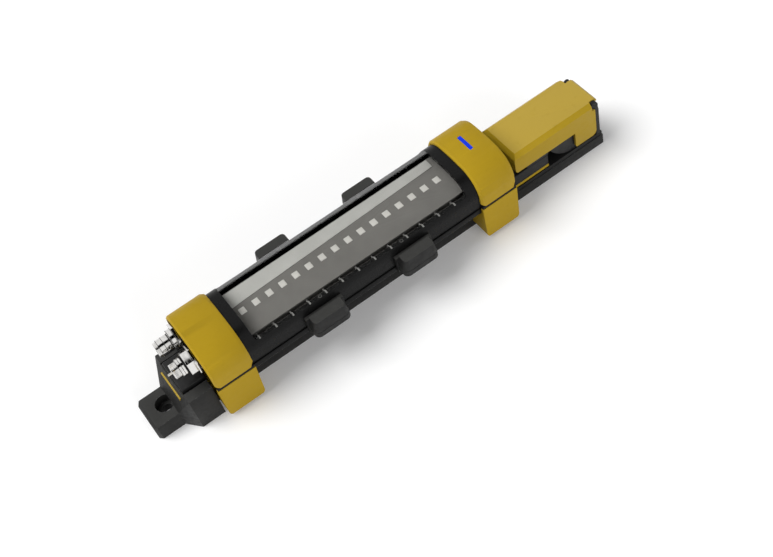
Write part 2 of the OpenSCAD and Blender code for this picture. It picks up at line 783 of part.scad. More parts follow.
// Gasket between the collar shells, set in a little from the faces
module collar_gasket(x0) {
    inner = housing_half_w + fit / 2;
    outer = collar_half_w - gasket_inset;
    color([0.05, 0.05, 0.05]) for (side = [-1, 1]) {
        y0 = side > 0 ? inner : -outer;
        box_at(x0 + gasket_inset, x0 + collar_len - gasket_inset, y0, y0 + outer - inner,
            collar_lower_z, collar_upper_z);
    }
}

module collar_gasket_left() {
    collar_gasket(left_collar_x);
}

module collar_gasket_right() {
    collar_gasket(right_collar_x);
}

// Socket screws that clamp the lower collar shells to the back shell
module collar_screws() {
    color([0.55, 0.55, 0.57]) for (x0 = [left_collar_x, right_collar_x], side = [-1, 1]) {
        x = x0 + collar_len / 2;
        y = side * collar_screw_y;
        top = side_foot_z - (side_foot_z - keel_z) * (housing_half_w - collar_screw_y) / (housing_half_w - keel_half_w);
        difference() {
            union() {
                bore_z(x, y, screw_r, collar_foot_z + 4, top - 2.4);
                bore_z(x, y, screw_head_r, collar_foot_z + 1.5, collar_foot_z + 5);
            }
            translate([x, y, collar_foot_z]) cylinder(r = 1.8, h = 3.6, $fn = 6);
        }
    }
}

light_y = 2.7;

// Slot and body of the blue status light on the second collar
module status_light_slot(grow, low) {
    x = right_collar_x + collar_len / 2;
    r = light_corner + grow;
    hx = light_w / 2 - light_corner;
    hy = light_len / 2 - light_corner;
    translate([x, light_y, low]) linear_extrude(collar_wall + 2) union() {
        translate([-hx, -hy - r]) square([2 * hx, 2 * (hy + r)]);
        translate([-hx - r, -hy]) square([2 * (hx + r), 2 * hy]);
        for (sx = [-1, 1], sy = [-1, 1]) translate([sx * hx, sy * hy]) circle(r = r, $fn = 32);
    }
}

module status_light() {
    color([0.15, 0.3, 0.75]) intersection() {
        status_light_slot(0, housing_top + 0.05);
        along_x(right_collar_x, right_collar_x + collar_len) housing_profile(collar_wall - 0.3, upper_edge_z);
    }
}

bumper_x = [receiver_mid - bumper_offset, receiver_mid + bumper_offset];
bumper_pegs_dx = 8;
bumper_peg_z = upper_edge_z + 3.4;

// Pegs of a bumper in the side wall
module bumper_peg(x, side, grow) {
    for (dx = [-bumper_pegs_dx, bumper_pegs_dx])
        translate([x + dx, side * (housing_half_w - housing_wall - 0.5), bumper_peg_z])
            rotate([-side * 90, 0, 0]) cylinder(r = 2 + grow, h = housing_wall + 2);
}

// One rubber bumper: a flange on the side wall, a ledge with round corners and a leaning block above it
module bumper(x, side) {
    h = bumper_len / 2;
    wall = housing_half_w + fit / 2;
    base = wall + flange_t;
    s = bumper_slope;
    r = bumper_corner;
    foot_z = bumper_low_z + ledge_t;
    union() {
        scale([1, side, 1]) {
            box_at(x - h - 0.8, x + h + 0.8, wall, base, bumper_low_z - 1.4, bumper_top_z - 2);
            translate([0, 0, bumper_low_z]) linear_extrude(ledge_t) bumper_plan(x, h, r, wall, bumper_reach);
            translate([0, 0, foot_z - eps]) linear_extrude(1) bumper_plan(x, h - 0.6, r, wall, bumper_reach - 0.6);
            hull() {
                translate([0, 0, foot_z + 0.5]) linear_extrude(0.1, convexity = 2)
                    bumper_plan(x, h, r, base - 0.1, bumper_reach, 32);
                translate([0, 0, bumper_top_z - 0.1]) linear_extrude(0.1, convexity = 2)
                    bumper_plan(x, h - s, bumper_top_r, base - 0.1, bumper_reach - 0.2, 24);
            }
        }
        bumper_peg(x, side, 0);
    }
}

// Plan of a bumper with two rounded outer corners
module bumper_plan(x, h, r, y0, y1, n = 64) {
    translate([x - h, y0]) square([2 * h, y1 - r - y0]);
    translate([x - h + r, y0]) square([2 * h - 2 * r, y1 - y0]);
    for (c = [-1, 1]) translate([x + c * (h - r), y1 - r]) circle(r = r, $fn = n);
}

module side_bumpers() {
    color([0.1, 0.1, 0.1]) for (side = [-1, 1], x = bumper_x) bumper(x, side);
}

// Black foot block that lies in the cradle pocket
module foot_block() {
    color([0.15, 0.15, 0.16])
        centred_box(cradle_front + 2 * fit, receiver_start - 0.05, foot_w, nose_z, foot_top_z);
}

// Yellow nose plate under the foot block, its tip through the slot in the slanted wall
module nose_plate() {
    slope_x = wedge_start + wedge_len * (nose_z - eye_t) / (cradle_h - eye_t);
    color([0.8, 0.7, 0.25]) centred_box(slope_x - nose_proud / 2, receiver_start - 0.05, rail_w - 0.4,
        nose_low_z, nose_z);
}

// Yellow latch plate on the pad of the rail
module latch_plate() {
    color([0.8, 0.7, 0.25]) centred_box(receiver_end + 0.05, tongue_end, tongue_w,
        tongue_plate_z, tongue_plate_z + plate_t);
}

// Black latch block on the latch plate
module latch_block() {
    color([0.2, 0.2, 0.21]) centred_box(receiver_end + 0.05, tongue_end, tongue_w,
        tongue_plate_z + plate_t, tongue_plate_z + plate_t + tongue_h);
}

// Turned metal connector along -X from the end cap
module turned(side) {
    translate([housing_start, side * connector_y, connector_z]) rotate([0, -90, 0]) children();
}

ring_r = 7.8;
ring_t = 0.8;
bore_r_in = thread_r - 1.2;
socket_depth = 7;

// One connector: round base, hexagonal flange, shank, barrel and threaded tip, with a blind socket
module connector(side, flange_t, barrel_x, barrel_r, tip_len) {
    color([0.75, 0.74, 0.72]) turned(side) difference() {
        union() {
            cylinder(r = flange_base_r, h = flange_stand + eps);
            translate([0, 0, flange_stand]) cylinder(r = hex_af / sqrt(3), h = flange_t - flange_stand, $fn = 6);
            cylinder(r = shank_r, h = barrel_x);
            translate([0, 0, barrel_x]) cylinder(r = barrel_r, h = connector_len - tip_len - barrel_x);
            translate([0, 0, connector_len - tip_len - 1]) cylinder(r = thread_r, h = tip_len + 1);
            translate([0, 0, -end_cap_t]) cylinder(r = thread_r, h = end_cap_t + 1);
        }
        translate([0, 0, connector_len - socket_depth]) cylinder(r = bore_r_in, h = socket_depth + 1);
        difference() {
            translate([0, 0, -1]) cylinder(r = ring_r + ring_t, h = 1 + ring_t);
            translate([0, 0, -2]) cylinder(r = ring_r - ring_t, h = 4);
        }
    }
}

shank_r = thread_r + 0.6;

module connector_left() {
    connector(1, far_flange_t, far_flange_t + far_nut_len + 1.3, far_barrel_r, far_tip_len);
}

module connector_right() {
    connector(-1, near_flange_t, near_flange_t + near_nut_len + 1.5, near_barrel_r, near_tip_len);
}

// Clamping nuts on the connectors: a knurled round one and a hexagonal one
module connector_nuts() {
    color([0.8, 0.79, 0.77]) {
        turned(1) translate([0, 0, far_flange_t]) difference() {
            cylinder(r = far_nut_r, h = far_nut_len);
            cylinder(r = shank_r + 0.02, h = far);
        }
        turned(-1) translate([0, 0, near_flange_t]) difference() {
            rotate([0, 0, 15]) cylinder(r = near_nut_r, h = near_nut_len, $fn = 6);
            cylinder(r = shank_r + 0.02, h = far);
        }
    }
}

// Insulating inserts inside the connectors
module connector_inserts() {
    color([0.06, 0.06, 0.06]) for (side = [-1, 1]) turned(side)
        translate([0, 0, connector_len - socket_depth]) cylinder(r = bore_r_in - 0.02, h = 2.5);
}

// Contact pins of the connectors; the middle one of the near connector is the long guide pin
module contact_pins() {
    base = connector_len - socket_depth + 2.5;
    color([0.8, 0.65, 0.3]) for (side = [-1, 1]) turned(side) {
        for (a = [45 : 90 : 315]) rotate([0, 0, a]) translate([2.4, 0, base]) cylinder(r = 0.5, h = 3.4);
        translate([0, 0, base]) cylinder(r = 0.8, h = side < 0 ? socket_depth - 2.5 + guide_pin_len : 3.4);
    }
}

// Seal rings between the connector flanges and the end cap
module connector_rings() {
    color([0.03, 0.03, 0.03]) for (side = [-1, 1]) turned(side) difference() {
        cylinder(r = ring_r + ring_t - 0.02, h = ring_t - 0.02);
        translate([0, 0, -1]) cylinder(r = ring_r - ring_t + 0.02, h = 4);
    }
}

// Yellow lever: a bevelled channel with a foot on each side and a knuckle at its far end
module quick_release_lever() {
    w = lever_w;
    b = lever_bevel;
    t = lever_wall;
    color([0.83, 0.74, 0.32]) difference() {
        union() {
            intersection() {
                lever_side(w);
                along_x(lever_free_x - 1, rail_reach) polygon([
                    [-w / 2, 0], [-w / 2, lever_top_z - b], [-w / 2 + b, lever_top_z], [w / 2 - b, lever_top_z],
                    [w / 2, lever_top_z - b], [w / 2, 0]]);
            }
            translate([hinge_x, knuckle_far, hinge_z]) rotate([90, 0, 0])
                cylinder(r = knuckle_r, h = knuckle_far + knuckle_near);
        }
        centred_box(lever_free_x + t, hinge_x - knuckle_r - 1, w - 2 * t, 0, lever_top_z - t);
        centred_box(lever_free_x + t, hinge_x + lever_nose + 1, w - 2 * t, 0, hinge_z - knuckle_r);
        for (side = [-1, 1]) {
            y0 = side > 0 ? knuckle_far : -w / 2 - 1;
            y1 = side > 0 ? w / 2 + 1 : -knuckle_near;
            translate([hinge_x, y1, hinge_z]) rotate([90, 0, 0]) cylinder(r = knuckle_r + fit + 0.05, h = y1 - y0);
            box_at(hinge_x - knuckle_r, rail_reach, y0, y1, hinge_z - 3, lever_top_z + 1);
        }
        linear_extrude(far) polygon([[hinge_x - knuckle_r - 3, w / 2 + 1], [hinge_x - knuckle_r + eps, w / 2 - b - 2],
            [hinge_x, w / 2 - b - 2], [hinge_x, w / 2 + 1]]);
        translate([hinge_x, far / 2, hinge_z]) rotate([90, 0, 0]) cylinder(r = pin_r + 0.05, h = far);
    }
}

// Side outline of the lever: skirts, the foot and the bevelled free end
module lever_side(w) {
    b = lever_bevel;
    foot_x = lever_foot_end - lever_foot_len;
    r = lever_foot_r;
    across_y(w) difference() {
        polygon([
            [lever_free_x, lever_top_z - b - 0.6], [lever_free_x + b - 0.4, lever_top_z],
            [hinge_x + lever_nose - nose_bevel, lever_top_z], [hinge_x + lever_nose, lever_top_z - nose_bevel],
            [hinge_x + lever_nose, hinge_z], [lever_foot_end, hinge_z], [lever_foot_end, lever_foot_z],
            [foot_x + 1, lever_foot_z], [foot_x, lever_foot_z + 1], [foot_x, skirt_z], [lever_free_x + 1.6, skirt_z],
            [lever_free_x, skirt_z + 2]]);
        difference() {
            translate([lever_foot_end - r, lever_foot_z - 1]) square([r + 1, r + 1]);
            translate([lever_foot_end - r, lever_foot_z + r]) circle(r = r);
        }
    }
}

clamp_w = lever_w - 2 * lever_wall - 0.4;

// Black clamp block in the lever: it rests over the latch tongue and its round nose stands behind the tongue
module clamp_block() {
    tongue_top = tongue_plate_z + plate_t + tongue_h;
    face_x = tongue_end + 2 * fit;
    start_x = lever_free_x + 0.15 * lever_reach;
    top_z = lever_top_z - lever_wall;
    nose_x = face_x + clamp_nose_r - 1;
    nose_z0 = pad_top + fit + clamp_nose_r - 1;
    color([0.22, 0.22, 0.23]) difference() {
        across_y(clamp_w) union() {
            polygon([[start_x, tongue_top + fit], [face_x + eps, tongue_top + fit], [face_x + eps, top_z], [start_x, top_z]]);
            intersection() {
                translate([nose_x, nose_z0]) circle(r = clamp_nose_r, $fn = 120);
                translate([face_x, pad_top + fit]) square([clamp_nose_r - 1, top_z - pad_top - fit]);
            }
        }
        centred_box(nose_x - 0.4 * clamp_nose_r, nose_x + clamp_nose_r, 0.67 * clamp_w, 0, top_z - 0.48 * clamp_nose_r);
    }
}

// Hinge pin through the five knuckles
module hinge_pin() {
    pin_len = knuckle_far + knuckle_near + 2 * (outer_knuckle_w + fit);
    color([0.7, 0.7, 0.72]) translate([hinge_x, knuckle_far + fit + outer_knuckle_w, hinge_z])
        rotate([90, 0, 0]) cylinder(r = pin_r - 0.01, h = pin_len);
}

end_block();
rail_bar();
pad_plate();
hinge_plate();
rail_screws();
front_housing();
back_housing();
housing_gasket();
window();
sensor_deck();
detector_cells();
diffuser_strip();
deck_ribs();
detector_board();
main_board();
board_posts();
end_cap_left();
end_cap_right();
collar_front_left();
collar_front_right();
collar_back_left();
collar_back_right();
collar_gasket_left();
collar_gasket_right();
collar_screws();
status_light();
side_bumpers();
foot_block();
nose_plate();
latch_block();
latch_plate();
connector_left();
connector_right();
connector_nuts();
connector_inserts();
contact_pins();
connector_rings();
quick_release_lever();
clamp_block();
hinge_pin();
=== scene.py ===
import json
import math

import bmesh
import bpy
from mathutils import Matrix, Vector


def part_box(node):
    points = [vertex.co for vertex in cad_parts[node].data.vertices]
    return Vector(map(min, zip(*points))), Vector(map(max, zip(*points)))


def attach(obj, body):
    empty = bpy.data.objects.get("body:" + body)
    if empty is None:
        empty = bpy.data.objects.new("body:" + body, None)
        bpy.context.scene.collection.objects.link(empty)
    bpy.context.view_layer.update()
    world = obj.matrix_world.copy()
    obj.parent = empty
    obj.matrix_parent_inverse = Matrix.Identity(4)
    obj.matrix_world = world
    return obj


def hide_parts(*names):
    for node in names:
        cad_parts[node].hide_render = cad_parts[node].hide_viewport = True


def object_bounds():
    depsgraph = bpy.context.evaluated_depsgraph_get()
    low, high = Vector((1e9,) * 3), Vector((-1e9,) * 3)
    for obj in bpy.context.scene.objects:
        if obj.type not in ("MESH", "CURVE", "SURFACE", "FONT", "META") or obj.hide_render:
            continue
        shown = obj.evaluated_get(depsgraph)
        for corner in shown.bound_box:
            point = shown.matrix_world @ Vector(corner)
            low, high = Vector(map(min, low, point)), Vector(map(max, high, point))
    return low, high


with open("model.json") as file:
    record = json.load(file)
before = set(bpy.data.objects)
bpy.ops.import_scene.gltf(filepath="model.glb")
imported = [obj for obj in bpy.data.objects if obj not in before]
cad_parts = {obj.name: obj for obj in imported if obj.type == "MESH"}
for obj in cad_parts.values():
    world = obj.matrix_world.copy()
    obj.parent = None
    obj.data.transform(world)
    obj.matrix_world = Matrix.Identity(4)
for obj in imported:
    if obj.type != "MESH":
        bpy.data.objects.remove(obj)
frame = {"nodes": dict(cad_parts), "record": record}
cad_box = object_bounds()
nodes = frame["nodes"]
scene = bpy.context.scene
MM = 0.001

# The camera, fitted to the photograph: the focal length and the centre in pixels of its picture,
# the place in the shared frame, and the object's turn in the camera as a rotation vector
WIDTH, HEIGHT = 773, 557
FOCAL = 1265.13
CENTRE = (384.49, 279.23)
PLACE = Vector((-14.35, -557.26, 789.84)) * MM
TURN = Vector((2.36513178, -0.82104475, 0.02142112))
SENSOR_WIDTH = 36


def make_camera():
    """The photograph's camera, with the small shift that its centre asks for."""
    data = bpy.data.cameras.new("camera")
    cam = bpy.data.objects.new("camera", data)
    scene.collection.objects.link(cam)
    data.sensor_width = SENSOR_WIDTH
    data.lens = FOCAL * SENSOR_WIDTH / WIDTH
    data.shift_x = (WIDTH / 2 - CENTRE[0]) / WIDTH
    data.shift_y = (CENTRE[1] - HEIGHT / 2) / WIDTH
    data.clip_start = 0.02
    data.clip_end = 20
    turn = Matrix.Rotation(TURN.length, 3, TURN.normalized())
    # the fitted camera looks along its Z with Y down, and Blender's along -Z with Y up
    axes = turn.transposed() @ Matrix(((1, 0, 0), (0, -1, 0), (0, 0, -1)))
    cam.matrix_world = Matrix.Translation(PLACE) @ axes.to_4x4()
    scene.camera = cam


make_camera()


# Node trees
class Nodes:
    """Short calls for the nodes of one tree."""

    def __init__(self, tree):
        self.tree = tree

    def put(self, socket, value):
        """Gives an input a constant, or a link from an output. Three numbers are an opaque colour."""
        if isinstance(value, bpy.types.NodeSocket):
            self.tree.links.new(value, socket)
        elif socket.type == "RGBA" and len(value) == 3:
            socket.default_value = (*value, 1)
        else:
            socket.default_value = value

    def node(self, kind, **inputs):
        """A shader node. The names of its inputs have _ for a space."""
        made = self.tree.nodes.new("ShaderNode" + kind)
        for key, value in inputs.items():
            self.put(made.inputs[key.replace("_", " ")], value)
        return made

    def math(self, operation, a, b):
        made = self.node("Math")
        made.operation = operation
        self.put(made.inputs[0], a)
        self.put(made.inputs[1], b)
        return made.outputs[0]

    def span(self, value, start, end, low, high):
        """The value, eased from low at start to high at end."""
        made = self.node("MapRange", Value=value, From_Min=start, From_Max=end, To_Min=low, To_Max=high)
        made.interpolation_type = "SMOOTHSTEP"
        return made.outputs["Result"]

    def mix(self, factor, first, second):
        """A blend of two colours. The mix node keeps its colours in the seventh and eighth input."""
        made = self.node("Mix")
        made.data_type = "RGBA"
        self.put(made.inputs[0], factor)
        self.put(made.inputs[6], first)
        self.put(made.inputs[7], second)
        return made.outputs[2]


class Shader(Nodes):
    """A material, with the patterns that its look is made of. Noise scales count waves to the metre."""

    def __init__(self, name):
        self.mat = bpy.data.materials.new(name)
        self.mat.use_nodes = True
        super().__init__(self.mat.node_tree)
        self.bsdf = self.tree.nodes["Principled BSDF"]
        self.coords = self.node("TexCoord").outputs["Object"]

    def set(self, key, value):
        self.put(self.bsdf.inputs[key], value)

    def show(self, shader):
        """Makes a shader the surface, in the place of the first one."""
        self.put(self.tree.nodes["Material Output"].inputs["Surface"], shader)

    def noise(self, scale, detail=3.0, rough=0.55, stretch=None):
        at = self.coords
        if stretch:
            at = self.node("Mapping", Vector=at, Scale=stretch).outputs[0]
        return self.node("TexNoise", Vector=at, Scale=scale, Detail=detail, Roughness=rough).outputs["Fac"]

    def patches(self, noise, start, full, most=1.0):
        """0 where the noise lies under start, and most where it lies over full."""
        return self.span(noise, start, full, 0.0, most)

    def upward(self):
        """How far a face of the piece looks up: 1 on its level upper faces."""
        normal = self.node("TexCoord").outputs["Normal"]
        return self.node("SeparateXYZ", Vector=normal).outputs["Z"]

    def fade(self, colour, lit_top):
        """The colour, with a paler one on the level upper faces where one is given: painted top light."""
        if lit_top is None:
            return colour
        return self.mix(self.span(self.upward(), 0.82, 0.98, 0.0, 1.0), colour, lit_top)

    def edge(self, width):
        """1 along edges, as wide as given, and 0 on flat faces."""
        bevel = self.node("Bevel", Radius=width)
        bevel.samples = 6
        along = self.node("VectorMath")
        along.operation = "DOT_PRODUCT"
        self.put(along.inputs[0], bevel.outputs[0])
        self.put(along.inputs[1], self.node("NewGeometry").outputs["Normal"])
        bend = self.math("SUBTRACT", 1.0, along.outputs["Value"])
        return self.span(bend, 0.02, 0.25, 0.0, 1.0)

    def wear(self, colour, bare, width, where):
        """The colour, with the bare one along edges where the pattern says so."""
        return self.mix(self.math("MULTIPLY", self.edge(width), where), colour, bare)

    def uneven_gloss(self, scale, rough, less, more=0.1):
        """Roughness that wanders from a little less than the value to a little more."""
        self.set("Roughness", self.span(self.noise(scale, 3), 0.3, 0.75, rough - less, rough + more))

    def bump(self, height, strength, distance, under=None):
        """Relief on the surface, over an earlier relief where one is given."""
        made = self.node("Bump", Height=height, Strength=strength, Distance=distance)
        if under is not None:
            self.put(made.inputs["Normal"], under)
        self.set("Normal", made.outputs[0])
        return made.outputs[0]


# Materials
# Scales along X, Y and Z of the noise that makes fine lines on metal
ALONG_Z = (900, 900, 40)
ALONG_X = (40, 900, 900)
ROUND_X = (700, 20, 20)
EXTRUDED = (20, 900, 900)


def grey(level):
    return (level, level, level)


def shade(colour, factor, lift=0.0):
    """The colour, darker or lighter by a factor and a lift."""
    return tuple(c * factor + lift for c in colour)


def painted(name, base, dark, rough=0.5, shine=0.12, peel=0.05, lit_top=None):
    """Powder coat: fine orange peel, faint soiling, and worn edges with small chips."""
    bare = (0.3, 0.28, 0.24)
    s = Shader(name)
    colour = s.mix(s.patches(s.noise(28, 4), 0.35, 0.7, 0.55), base, dark)
    # Paler level upper faces, where asked: painted top light.
    colour = s.fade(colour, lit_top)
    colour = s.mix(s.patches(s.noise(140, 5, 0.6), 0.55, 0.8, 0.3), colour, shade(base, 0.75))
    chips = s.patches(s.noise(900, 4, 0.65), 0.5, 0.66, 0.5)
    s.set("Base Color", s.wear(colour, bare, 0.7 * MM, chips))
    s.uneven_gloss(260, rough, 0.06)
    s.set("Specular IOR Level", shine)
    orange_peel = s.bump(s.noise(1400, 2, 0.5), peel, 0.3 * MM)
    s.bump(s.noise(5200, 1.5, 0.5), peel * 0.8, 0.12 * MM, orange_peel)
    return s.mat


def moulded(name, base, light, rough=0.5, grain=0.12, grain_scale=3200, rubbed_and_lit_edges=0.35, shine=0.3):
    """Fine spark-eroded plastic: tiny grain, dust specks, and paler edges that are partly rubbing and partly
    a painted edge highlight.
    """
    s = Shader(name)
    colour = s.mix(s.patches(s.noise(60, 4), 0.35, 0.7, 0.5), base, light)
    # Paler edges, a little on every edge and more in patches: rubbing and a painted edge highlight.
    edge_rubs_and_highlight = s.span(s.noise(420, 4), 0.4, 0.65, 0.1, rubbed_and_lit_edges)
    colour = s.wear(colour, tuple(min(1, c) for c in shade(light, 2.6, 0.02)), 0.6 * MM, edge_rubs_and_highlight)
    dust = s.patches(s.noise(2400, 3, 0.7), 0.66, 0.8, 0.25)
    s.set("Base Color", s.mix(dust, colour, shade(light, 1.6, 0.01)))
    s.uneven_gloss(190, rough, 0.08)
    s.set("Specular IOR Level", shine)
    s.bump(s.noise(grain_scale, 2, 0.6), grain, 0.2 * MM)
    return s.mat


def anodised(name, base, light, rough, lit_top=None):
    """Black anodised metal: satin, with faint extrusion lines along X and bright worn edges."""
    bare = grey(0.32)
    s = Shader(name)
    lines = s.noise(1.0, 4, 0.6, EXTRUDED)
    colour = s.mix(s.patches(s.noise(45, 4), 0.35, 0.7, 0.6), base, light)
    # Paler level upper faces, where asked: painted top light.
    colour = s.fade(colour, lit_top)
    colour = s.mix(s.patches(lines, 0.45, 0.8, 0.35), colour, shade(light, 1.5))
    chips = s.patches(s.noise(520, 4, 0.65), 0.46, 0.66, 0.7)
    s.set("Base Color", s.wear(colour, bare, 0.6 * MM, chips))
    s.set("Specular IOR Level", 0.15)
    s.uneven_gloss(300, rough, 0.07)
    drawn = s.bump(lines, 0.05, 0.2 * MM)
    s.bump(s.noise(3800, 2, 0.6), 0.1, 0.12 * MM, drawn)
    return s.mat


def rubber(name, base, light, rough, lit_top=None):
    """Matt rubber: faint clouds, paler edges that are partly scuffs and partly a painted edge highlight,
    and, where asked, paler upper faces that are painted top light.
    """
    s = Shader(name)
    colour = s.mix(s.patches(s.noise(120, 5), 0.35, 0.7, 0.7), base, light)
    # Paler level upper faces, where asked: painted top light.
    colour = s.fade(colour, lit_top)
    # Paler edges: scuffing and a painted edge highlight.
    scuffs_and_highlight = s.patches(s.noise(300, 4), 0.42, 0.66, 0.5)
    s.set("Base Color", s.wear(colour, shade(light, 2.4, 0.02), 1.0 * MM, scuffs_and_highlight))
    s.uneven_gloss(260, rough, 0.08)
    s.set("Specular IOR Level", 0.2)
    s.bump(s.noise(2600, 3, 0.6), 0.14, 0.2 * MM)
    return s.mat


def metal(name, base, rough, lines=ALONG_Z, relief=0.08):
    """Plated metal with slight tarnish and fine turned or drawn lines."""
    s = Shader(name)
    drawn = s.noise(1.0, 3, 0.6, lines)
    s.set("Base Color", s.mix(s.patches(s.noise(260, 4), 0.35, 0.75, 0.5), base, shade(base, 0.72)))
    s.set("Metallic", 1.0)
    s.set("Roughness", s.span(drawn, 0.3, 0.75, rough - 0.05, rough + 0.12))
    s.bump(drawn, relief, 0.1 * MM)
    return s.mat


def glass(name):
    """Clear pane: straight view through from the front and a growing mirror at a slant."""
    s = Shader(name)
    tint = s.mix(s.patches(s.noise(60, 3), 0.3, 0.7), (0.99, 0.99, 0.985), (0.97, 0.97, 0.965))
    clear = s.node("BsdfTransparent", Color=tint).outputs[0]
    s.set("Base Color", grey(0.9))
    s.set("Metallic", 1.0)
    s.set("Roughness", s.span(s.noise(90, 4), 0.4, 0.7, 0.03, 0.05))
    slant = s.node("Fresnel", IOR=1.45).outputs[0]
    mirror = s.span(slant, 0.05, 0.085, 0.0, 0.19)
    front = s.math("SUBTRACT", 1.0, s.node("NewGeometry").outputs["Backfacing"])
    both = s.node("MixShader")
    s.put(both.inputs[0], s.math("MULTIPLY", mirror, front))
    s.put(both.inputs[1], clear)
    s.put(both.inputs[2], s.bsdf.outputs[0])
    s.show(both.outputs[0])
    return s.mat


def lamp(name):
    """Blue status lens: ribbed inside, with a faint glow."""
    s = Shader(name)
    ribs = s.node("TexWave", Vector=s.coords, Scale=420.0, Distortion=0.4).outputs["Fac"]
    s.set("Base Color", s.mix(ribs, (0.002, 0.02, 0.42), (0.003, 0.03, 0.55)))
    s.set("Roughness", s.span(s.noise(500, 3), 0.3, 0.7, 0.12, 0.26))
    s.set("Specular IOR Level", 0.1)
    s.set("Emission Color", (0.0, 0.06, 1.0))
    s.set("Emission Strength", 0.25)
    s.bump(ribs, 0.1, 0.2 * MM)
    return s.mat


def board(name):
    """Green solder mask with fine copper tracks showing through as paler lines."""
    s = Shader(name)
    brick = s.node("TexBrick", Vector=s.coords, Scale=260.0, Mortar_Size=0.06, Mortar_Smooth=0.4)
    tracks = brick.outputs["Fac"]
    colour = s.mix(s.patches(s.noise(400, 3), 0.35, 0.7), (0.012, 0.07, 0.03), (0.02, 0.11, 0.045))
    s.set("Base Color", s.mix(s.math("MULTIPLY", tracks, 0.55), colour, (0.04, 0.2, 0.08)))
    s.set("Roughness", s.span(s.noise(300, 2), 0.3, 0.7, 0.28, 0.42))
    s.bump(tracks, 0.1, 0.1 * MM)
    return s.mat


looks = {
    # The paler upper faces of black_anodised, lever_yellow and black_rubber are painted top light.
    "black_anodised": anodised(
        "black_anodised", (0.015, 0.015, 0.0145), (0.02, 0.02, 0.019), rough=0.45,
        lit_top=(0.036, 0.036, 0.0345)),
    "black_plate": anodised("black_plate", grey(0.012), grey(0.018), rough=0.42),
    "yellow_paint": painted("yellow_paint", (0.425, 0.278, 0.014), (0.385, 0.25, 0.013)),
    "lever_yellow": painted(
        "lever_yellow", (0.405, 0.268, 0.014), (0.385, 0.254, 0.013), rough=0.36, shine=0.15, peel=0.012,
        lit_top=(0.455, 0.318, 0.05)),
    "black_housing": moulded(
        "black_housing", grey(0.007), grey(0.0085), rough=0.3, grain=0.015, grain_scale=4200, rubbed_and_lit_edges=0.1,
        shine=0.09),
    "black_block": moulded("black_block", grey(0.013), grey(0.02), rough=0.42, grain=0.06, shine=0.2),
    "black_rubber": rubber(
        "black_rubber", (0.010, 0.010, 0.0097), (0.014, 0.014, 0.0135), rough=0.5,
        lit_top=(0.036, 0.036, 0.034)),
    "seal_rubber": rubber("seal_rubber", grey(0.006), grey(0.012), rough=0.7),
    "pane": glass("pane"),
    "sensor_grey": moulded(
        "sensor_grey", (0.165, 0.161, 0.152), (0.185, 0.18, 0.17), rough=0.55, grain=0.08, shine=0.1),
    "cell_white": moulded("cell_white", (0.56, 0.55, 0.52), (0.62, 0.61, 0.58), rough=0.35, grain=0.04),
    # The diffuser strip's pale colour is a painted reflection: it stands for a bright light mirrored in the
    # panel.
    "diffuser": moulded("diffuser", (0.43, 0.43, 0.41), (0.48, 0.48, 0.46), grain=0.05),
    "clip_white": moulded("clip_white", (0.2, 0.2, 0.195), (0.25, 0.25, 0.24), rough=0.45, grain=0.05),
    "sight_grey": moulded("sight_grey", (0.09, 0.09, 0.087), (0.1, 0.1, 0.097), grain=0.05, shine=0.1),
    "board_green": board("board_green"),
    "brass": metal("brass", (0.60, 0.42, 0.16), rough=0.3),
    "nickel": metal("nickel", (0.74, 0.73, 0.71), rough=0.1, lines=ROUND_X, relief=0.02),
    "steel": metal("steel", grey(0.46), rough=0.3),
    "insert_black": moulded("insert_black", grey(0.008), grey(0.014), rough=0.45),
    "gold_pin": metal("gold_pin", (0.8, 0.77, 0.7), rough=0.2, lines=ALONG_X, relief=0.02),
    "blue_lens": lamp("blue_lens"),
}

# CAD nodes: rounded edges and materials
# Width of each node's rounding in mm. Nodes with fine facets keep the edges that they have.
ROUNDING = {
    0.8: ("collar_back_left", "collar_back_right", "foot_block", "latch_block", "quick_release_lever"),
    0.7: ("collar_front_left", "collar_front_right"),
    0.6: ("end_block", "clamp_block"),
    0.5: ("rail_bar", "back_housing", "end_cap_left", "end_cap_right"),
    0.4: ("pad_plate", "hinge_plate", "collar_gasket_left", "collar_gasket_right"),
    0.3: ("sensor_deck", "housing_gasket", "status_light", "nose_plate", "latch_plate",
          "connector_left", "connector_right", "connector_nuts"),
    0.2: ("diffuser_strip", "deck_ribs", "rail_screws", "collar_screws", "hinge_pin", "board_posts"),
    0.15: ("detector_cells", "connector_inserts", "contact_pins"),
    0.1: ("main_board", "detector_board", "connector_rings"),
    0: ("front_housing", "window", "side_bumpers"),
}
SHARP_FROM = math.radians(32)
ROUNDED_FROM = math.radians(30)
FLAT_UNDER = math.radians(0.4)


def make_smooth_group():
    """Smooth shading that keeps the sharper edges, as a node group for a modifier."""
    group = bpy.data.node_groups.new("smooth_by_angle", "GeometryNodeTree")
    for way in ("INPUT", "OUTPUT"):
        group.interface.new_socket("Geometry", in_out=way, socket_type="NodeSocketGeometry")
    start = group.nodes.new("NodeGroupInput")
    end = group.nodes.new("NodeGroupOutput")
    angle = group.nodes.new("GeometryNodeInputMeshEdgeAngle")
    blunt = group.nodes.new("FunctionNodeCompare")
    blunt.data_type = "FLOAT"
    blunt.operation = "LESS_EQUAL"
    blunt.inputs[1].default_value = SHARP_FROM
    faces = group.nodes.new("GeometryNodeSetShadeSmooth")
    faces.domain = "FACE"
    faces.inputs["Shade Smooth"].default_value = True
    edges = group.nodes.new("GeometryNodeSetShadeSmooth")
    edges.domain = "EDGE"
    link = group.links.new
    link(start.outputs[0], faces.inputs["Geometry"])
    link(faces.outputs[0], edges.inputs["Geometry"])
    link(angle.outputs["Unsigned Angle"], blunt.inputs[0])
    link(blunt.outputs[0], edges.inputs["Shade Smooth"])
    link(edges.outputs[0], end.inputs[0])
    return group


smooth_group = make_smooth_group()


